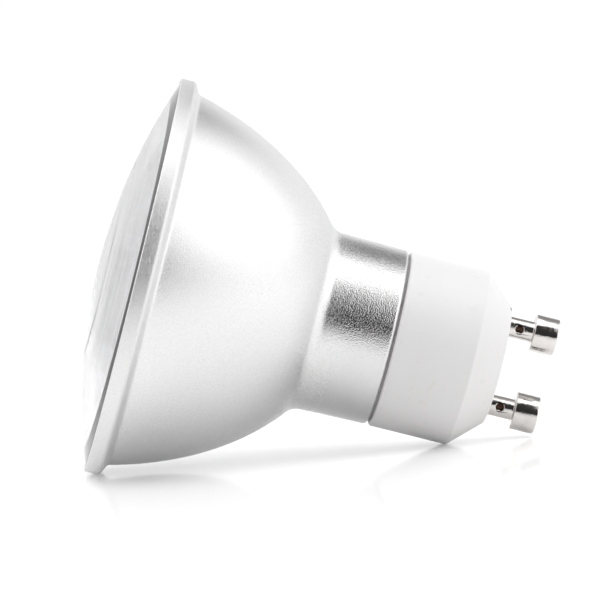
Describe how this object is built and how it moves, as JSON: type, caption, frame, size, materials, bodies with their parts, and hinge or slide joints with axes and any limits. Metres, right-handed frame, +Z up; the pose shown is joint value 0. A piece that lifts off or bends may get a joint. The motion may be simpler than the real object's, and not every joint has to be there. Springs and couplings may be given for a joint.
{
  "type": "reflector lamp",
  "caption": "Mains spotlight lamp lying on its side: satin bell-shaped reflector with a domed clear front glass, white ceramic base and stepped twist-lock contact pins.",
  "frame": {"origin": "On the floor that the lamp lies on, under the centre of its box", "axes": "+X from the front glass towards the pins, level, in the upright plane through the lamp's axis and both pins; +Z up; the lamp's own axis dips 18.75 degrees below +X towards the pins"},
  "size_m": [0.0608, 0.0502, 0.0481],
  "materials": {
    "reflector_metal": "satin",
    "front_glass": "polished",
    "seal": "matte",
    "base_ceramic": "satin",
    "cement": "matte",
    "quartz": "polished",
    "tungsten": "satin",
    "lead_metal": "satin",
    "sleeve": "matte",
    "pin_wire": "satin",
    "pin_plating": "gloss"
  },
  "bodies": {
    "root": {"reflector": "reflector_metal", "front_glass": "front_glass", "glass_seal": "seal", "ceramic_base": "base_ceramic", "neck_cement": "cement", "capsule_cement": "cement", "capsule": "quartz", "filament": "tungsten", "filament_support": "tungsten", "inner_lead_upper": "lead_metal", "inner_lead_lower": "lead_metal", "foil_upper": "lead_metal", "foil_lower": "lead_metal", "outer_lead_upper": "lead_metal", "outer_lead_lower": "lead_metal", "fuse_wire": "lead_metal", "fuse_sleeve": "sleeve", "wire_sleeve": "sleeve", "pin_wire_upper": "pin_wire", "pin_wire_lower": "pin_wire", "contact_pin_upper": "pin_plating", "contact_pin_lower": "pin_plating"}
  },
  "joints": []
}
